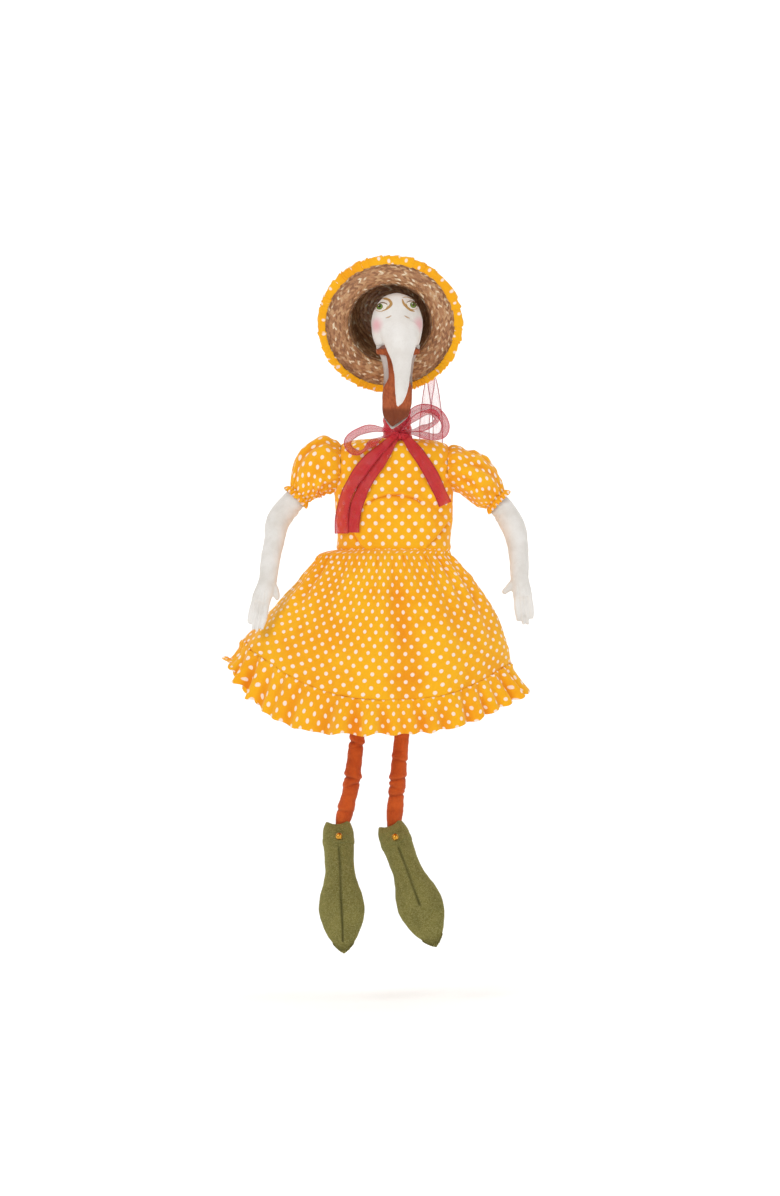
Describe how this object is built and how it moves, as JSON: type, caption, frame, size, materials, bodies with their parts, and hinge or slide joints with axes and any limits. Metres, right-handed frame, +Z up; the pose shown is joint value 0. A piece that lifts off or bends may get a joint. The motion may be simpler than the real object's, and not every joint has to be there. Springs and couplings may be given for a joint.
{
  "type": "soft bird doll",
  "caption": "Stuffed cloth bird doll with a long open bill, straw hat, dotted dress with puff sleeves, and loose jointed arms, legs and pointed shoes.",
  "frame": {"origin": "on the neck's upright axis, halfway up the neck, where the doll is hung", "axes": "+Z up along the neck, the face and bill look along -Y, the doll's left hand is at +X"},
  "size_m": [0.308, 0.1878, 0.6936],
  "materials": {
    "body_cloth": "matte",
    "skin_cloth": "matte",
    "dotted_cotton": "matte",
    "organza": "satin",
    "sheer_organza": "satin",
    "brown_cotton": "matte",
    "straw": "satin",
    "sewing_thread": "matte",
    "dowel_wood": "matte",
    "orange_cotton": "matte",
    "olive_felt": "matte",
    "gold_bead": "polished"
  },
  "bodies": {
    "torso": {"torso": "body_cloth", "bodice": "dotted_cotton", "skirt": "dotted_cotton", "skirt_ruffle": "dotted_cotton", "neck_ribbon": "organza", "bow_knot": "organza", "bow_loop_right": "organza", "bow_loop_left": "organza", "ribbon_tail_right_outer": "organza", "ribbon_tail_right_inner": "organza", "ribbon_tail_left": "organza", "shoulder_thread_right": "sewing_thread", "shoulder_thread_left": "sewing_thread", "hip_thread_right": "sewing_thread", "hip_thread_left": "sewing_thread"},
    "neck": {"neck": "skin_cloth", "neck_dowel": "dowel_wood"},
    "head": {"head": "skin_cloth", "head_thread": "sewing_thread", "upper_bill": "skin_cloth", "lower_bill": "skin_cloth", "mouth_lining": "brown_cotton", "straw_hat": "straw", "hat_trim": "dotted_cotton", "hat_band": "organza", "hat_stitch": "sewing_thread", "hat_ribbon_tail_outer": "sheer_organza", "hat_ribbon_tail_inner": "sheer_organza"},
    "right_arm": {"right_arm": "skin_cloth", "right_sleeve": "dotted_cotton", "right_cuff": "dotted_cotton"},
    "right_thigh": {"right_thigh": "orange_cotton", "knee_thread_right": "sewing_thread"},
    "right_shin": {"right_shin": "orange_cotton", "ankle_thread_right": "sewing_thread"},
    "right_shoe": {"right_shoe_upper": "olive_felt", "right_shoe_sole": "olive_felt", "right_shoe_strap": "olive_felt", "right_shoe_bead": "gold_bead"},
    "left_arm": {"left_arm": "skin_cloth", "left_sleeve": "dotted_cotton", "left_cuff": "dotted_cotton"},
    "left_thigh": {"left_thigh": "orange_cotton", "knee_thread_left": "sewing_thread"},
    "left_shin": {"left_shin": "orange_cotton", "ankle_thread_left": "sewing_thread"},
    "left_shoe": {"left_shoe_upper": "olive_felt", "left_shoe_sole": "olive_felt", "left_shoe_strap": "olive_felt", "left_shoe_bead": "gold_bead"}
  },
  "joints": [
    {"name": "neck_turn", "type": "hinge", "parent": "torso", "child": "neck", "pos_m": [0.002, 0, -0.02], "axis": [0, 0, 1], "range_deg": [-35, 35], "stiffness_Nm_per_rad": 0.05, "deforming": ["hat_ribbon_tail_outer", "hat_ribbon_tail_inner"]},
    {"name": "head_nod", "type": "hinge", "parent": "neck", "child": "head", "pos_m": [0.002, 0, 0.046], "axis": [1, 0, 0], "range_deg": [-18, 4], "stiffness_Nm_per_rad": 0.25},
    {"name": "right_shoulder", "type": "hinge", "parent": "torso", "child": "right_arm", "pos_m": [-0.0605, 0, -0.066], "axis": [-1, 0, 0], "range_deg": [0, 150]},
    {"name": "right_hip", "type": "hinge", "parent": "torso", "child": "right_thigh", "pos_m": [-0.0215, 0, -0.196], "axis": [-1, 0, 0], "range_deg": [-22, 22]},
    {"name": "right_knee", "type": "hinge", "parent": "right_thigh", "child": "right_shin", "pos_m": [-0.04345, 0, -0.38573], "axis": [-1, 0, 0], "range_deg": [-90, 45]},
    {"name": "right_ankle", "type": "hinge", "parent": "right_shin", "child": "right_shoe", "pos_m": [-0.0541, 0, -0.42843], "axis": [-1, 0, 0], "range_deg": [-12, 12]},
    {"name": "left_shoulder", "type": "hinge", "parent": "torso", "child": "left_arm", "pos_m": [0.0585, 0, -0.066], "axis": [-1, 0, 0], "range_deg": [0, 150]},
    {"name": "left_hip", "type": "hinge", "parent": "torso", "child": "left_thigh", "pos_m": [0.0195, 0, -0.196], "axis": [-1, 0, 0], "range_deg": [-22, 22]},
    {"name": "left_knee", "type": "hinge", "parent": "left_thigh", "child": "left_shin", "pos_m": [0.00219, 0, -0.38621], "axis": [-1, 0, 0], "range_deg": [-90, 45]},
    {"name": "left_ankle", "type": "hinge", "parent": "left_shin", "child": "left_shoe", "pos_m": [-0.00165, 0, -0.43005], "axis": [-1, 0, 0], "range_deg": [-12, 12]}
  ]
}
